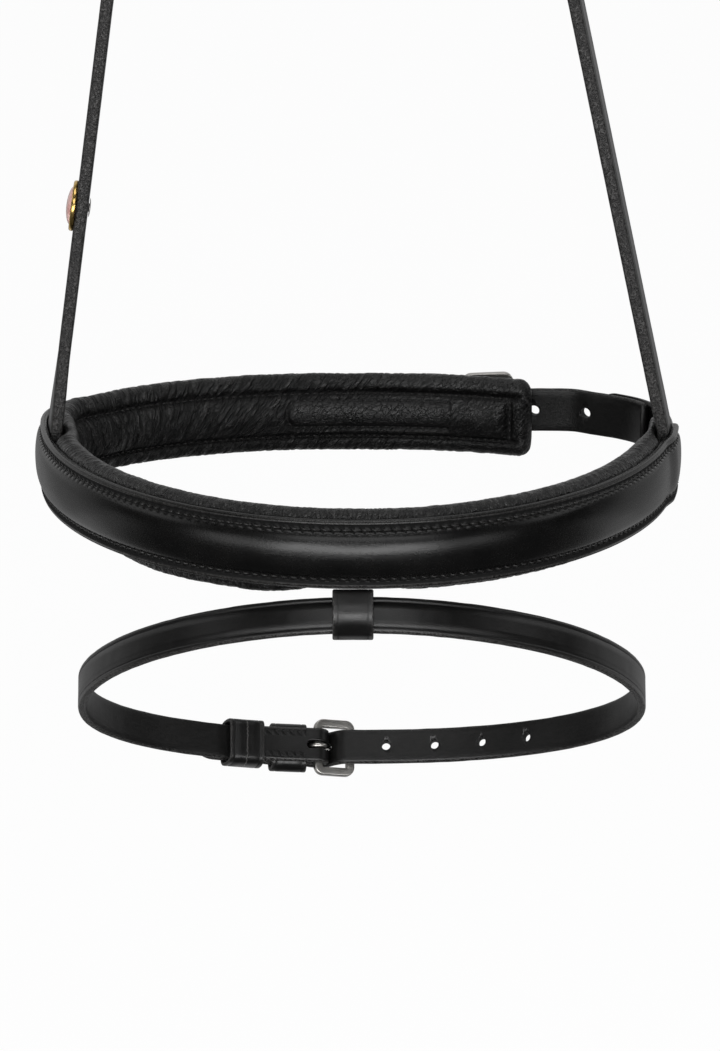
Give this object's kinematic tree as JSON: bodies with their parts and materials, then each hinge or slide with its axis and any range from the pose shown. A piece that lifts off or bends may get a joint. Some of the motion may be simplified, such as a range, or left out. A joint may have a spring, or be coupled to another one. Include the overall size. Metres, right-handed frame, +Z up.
{
  "type": "combination noseband",
  "caption": "Padded raised leather noseband on a buckled head strap, with a thin lower strap hung from a front loop and buckled behind the chin.",
  "frame": {"origin": "where the head strap rests on the poll: the middle of its inner face at the top of its arc", "axes": "+Z up along the head, -Y forwards over the nose, +X to the side of the buckles"},
  "size_m": [0.2318, 0.2134, 0.6314],
  "materials": {
    "smooth_leather": "satin black bridle leather",
    "strap_leather": "satin black strap leather",
    "lining_leather": "soft black pebbled lining leather",
    "felt": "pressed felt",
    "foam": "soft foam",
    "steel": "polished stainless steel",
    "rim_brass": "polished",
    "dome_resin": "glossy plain dome"
  },
  "bodies": {
    "headpiece": {"head_strap": "strap_leather", "near_cheek_strap": "strap_leather", "nose_band": "smooth_leather", "crown_filler": "felt", "lining_cover": "lining_leather", "foam_pad": "foam", "chin_chape": "smooth_leather", "chin_billet": "strap_leather", "chin_fixed_keeper": "strap_leather", "head_fixed_keeper": "strap_leather", "badge_rim": "rim_brass", "badge_dome": "dome_resin", "badge_rivet": "steel"},
    "chin_frame": {"chin_buckle_frame": "steel"},
    "chin_tongue": {"chin_buckle_tongue": "steel"},
    "chin_runner": {"chin_runner_keeper": "strap_leather"},
    "head_frame": {"head_buckle_frame": "steel"},
    "head_tongue": {"head_buckle_tongue": "steel"},
    "head_runner": {"head_runner_keeper": "strap_leather"},
    "loop": {"flash_loop": "strap_leather"},
    "flash": {"flash_strap": "strap_leather", "flash_fixed_keeper": "strap_leather"},
    "flash_frame": {"flash_buckle_frame": "steel"},
    "flash_tongue": {"flash_buckle_tongue": "steel"},
    "flash_runner": {"flash_runner_keeper": "strap_leather"}
  },
  "joints": [
    {"name": "loop_bend", "type": "hinge", "parent": "headpiece", "child": "loop", "pos_m": [0.0165, -0.12062, -0.50973], "axis": [1, 0, 0], "range_deg": [-40, 10]},
    {"name": "flash_slide", "type": "slide", "parent": "loop", "child": "flash", "axis": [1, 0, 0], "range_m": [-0.003, 0.0008]},
    {"name": "flash_frame_hinge", "type": "hinge", "parent": "flash", "child": "flash_frame", "pos_m": [0.00352, 0.0403, -0.61648], "axis": [0, 0.524, 0.8517], "range_deg": [-1, 2]},
    {"name": "flash_tongue_hinge", "type": "hinge", "parent": "flash_frame", "child": "flash_tongue", "pos_m": [0.00352, 0.0403, -0.61648], "axis": [0, 0.524, 0.8517], "range_deg": [0, 3]},
    {"name": "flash_runner_slide", "type": "slide", "parent": "flash", "child": "flash_runner", "axis": [0.9547, 0.2534, -0.1559], "range_m": [-0.004, 0]},
    {"name": "chin_frame_hinge", "type": "hinge", "parent": "headpiece", "child": "chin_frame", "pos_m": [0.05813, 0.07766, -0.497], "axis": [0, 0, 1], "range_deg": [-1, 2]},
    {"name": "chin_tongue_hinge", "type": "hinge", "parent": "chin_frame", "child": "chin_tongue", "pos_m": [0.05813, 0.07766, -0.497], "axis": [0, 0, 1], "range_deg": [0, 3]},
    {"name": "chin_runner_slide", "type": "slide", "parent": "headpiece", "child": "chin_runner", "axis": [1, -0.0029, 0], "range_m": [-0.003, 0.003]},
    {"name": "head_frame_hinge", "type": "hinge", "parent": "headpiece", "child": "head_frame", "pos_m": [0.07982, 0, -0.25167], "axis": [0.0705, 0.9974, 0.0149], "range_deg": [-1, 2]},
    {"name": "head_tongue_hinge", "type": "hinge", "parent": "head_frame", "child": "head_tongue", "pos_m": [0.07982, 0, -0.25167], "axis": [0.0705, 0.9974, 0.0149], "range_deg": [0, 3]},
    {"name": "head_runner_slide", "type": "slide", "parent": "headpiece", "child": "head_runner", "axis": [-0.207, 0, 0.9783], "range_m": [-0.003, 0.003]}
  ]
}
